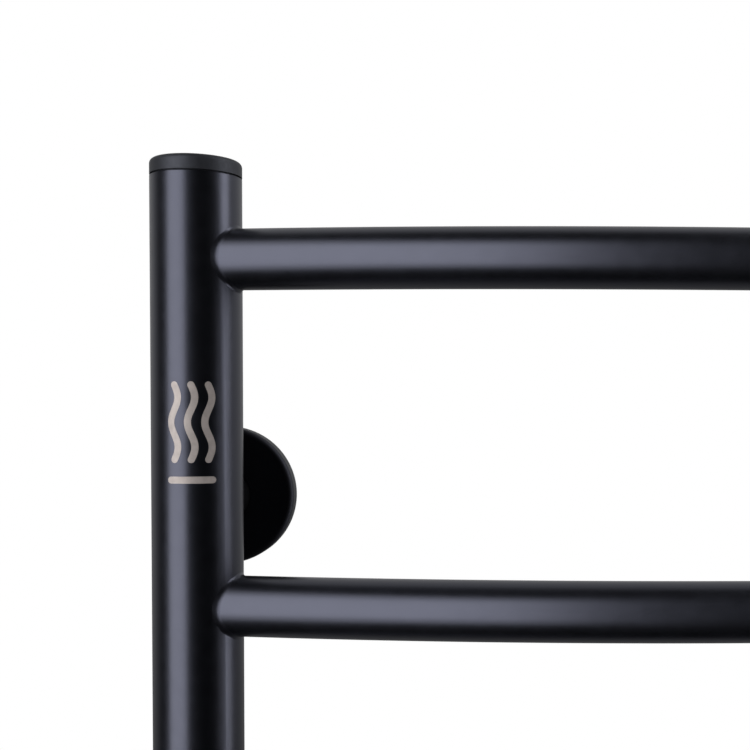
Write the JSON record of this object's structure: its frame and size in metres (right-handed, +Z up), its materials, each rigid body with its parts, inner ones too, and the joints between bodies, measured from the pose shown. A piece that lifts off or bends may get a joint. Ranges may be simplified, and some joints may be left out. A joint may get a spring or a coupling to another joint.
{
  "type": "towel warmer rack",
  "caption": "Wall-mounted electric ladder towel warmer: round posts, bowed round rungs, push-in end caps, telescopic wall brackets with sliding covers, and a push button in one post.",
  "frame": {"origin": "centre of the rectangle of the four wall screws, on the wall plane", "axes": "+X to the right for someone facing the rack, +Y into the wall, +Z up along the posts"},
  "size_m": [0.527, 0.139, 0.841],
  "materials": {
    "powder_coat": "satin black powder coat",
    "zinc_steel": "bright zinc plate",
    "black_steel": "black oxide",
    "cap_plastic": "fine moulded matt",
    "seal_rubber": "matt",
    "cable_jacket": "smooth extruded",
    "shrink_sleeve": "smooth",
    "housing_plastic": "moulded",
    "circuit_board": "solder mask",
    "relay_plastic": "moulded",
    "terminal_plastic": "moulded",
    "switch_plastic": "moulded",
    "sensor_resin": "dipped resin",
    "button_metal": "satin black",
    "light_guide": "frosted clear",
    "spring_steel": "bright",
    "earth_jacket": "smooth extruded"
  },
  "bodies": {
    "wall_side": {"wall_base_top_left": "black_steel", "wall_base_top_right": "black_steel", "wall_base_bottom_left": "black_steel", "wall_base_bottom_right": "black_steel", "wall_screws": "zinc_steel", "grub_screws": "black_steel"},
    "rack": {"post_left": "powder_coat", "post_right": "powder_coat", "rung_1": "powder_coat", "rung_2": "powder_coat", "rung_3": "powder_coat", "rung_4": "powder_coat", "rung_5": "powder_coat", "rung_6": "powder_coat", "weld_beads": "powder_coat", "bracket_arm_top_left": "powder_coat", "bracket_arm_top_right": "powder_coat", "bracket_arm_bottom_left": "powder_coat", "bracket_arm_bottom_right": "powder_coat", "arm_studs": "zinc_steel", "post_inserts": "zinc_steel", "end_cap_top_left": "cap_plastic", "end_cap_top_right": "cap_plastic", "end_cap_bottom_left": "cap_plastic", "end_cap_bottom_right": "cap_plastic", "gland_body": "cap_plastic", "gland_dome_nut": "cap_plastic", "gland_lock_nut": "cap_plastic", "cap_seals": "seal_rubber", "gland_seal": "seal_rubber", "heating_cable": "cable_jacket", "supply_leads": "cable_jacket", "cable_end_seal": "shrink_sleeve", "controller_housing": "housing_plastic", "controller_lid": "housing_plastic", "controller_board": "circuit_board", "relay": "relay_plastic", "thermal_fuse": "relay_plastic", "terminal_block": "terminal_plastic", "supply_connector": "terminal_plastic", "tactile_switch": "switch_plastic", "temperature_sensor": "sensor_resin", "button_bezel": "button_metal", "led_ring": "light_guide", "button_spring": "spring_steel", "earth_screw": "spring_steel", "earth_lug": "spring_steel", "earth_nut": "spring_steel", "earth_lead": "earth_jacket"},
    "wall_cover_top_left": {"wall_cover_top_left": "powder_coat", "cover_ring_top_left": "seal_rubber"},
    "wall_cover_top_right": {"wall_cover_top_right": "powder_coat", "cover_ring_top_right": "seal_rubber"},
    "wall_cover_bottom_left": {"wall_cover_bottom_left": "powder_coat", "cover_ring_bottom_left": "seal_rubber"},
    "wall_cover_bottom_right": {"wall_cover_bottom_right": "powder_coat", "cover_ring_bottom_right": "seal_rubber"},
    "power_button": {"power_button": "button_metal", "switch_plunger": "switch_plastic"}
  },
  "joints": [
    {"name": "rack_stand_off", "type": "slide", "parent": "wall_side", "child": "rack", "axis": [0, -1, 0], "range_m": [0, 0.008]},
    {"name": "wall_cover_top_left_slide", "type": "slide", "parent": "wall_side", "child": "wall_cover_top_left", "axis": [0, -1, 0], "range_m": [0, 0.018]},
    {"name": "wall_cover_top_right_slide", "type": "slide", "parent": "wall_side", "child": "wall_cover_top_right", "axis": [0, -1, 0], "range_m": [0, 0.018]},
    {"name": "wall_cover_bottom_left_slide", "type": "slide", "parent": "wall_side", "child": "wall_cover_bottom_left", "axis": [0, -1, 0], "range_m": [0, 0.018]},
    {"name": "wall_cover_bottom_right_slide", "type": "slide", "parent": "wall_side", "child": "wall_cover_bottom_right", "axis": [0, -1, 0], "range_m": [0, 0.018]},
    {"name": "power_button_press", "type": "slide", "parent": "rack", "child": "power_button", "axis": [0, 1, 0], "range_m": [0, 0.001], "stiffness_N_per_m": 1500, "springref_m": -0.0005, "deforming": ["button_spring"]}
  ]
}
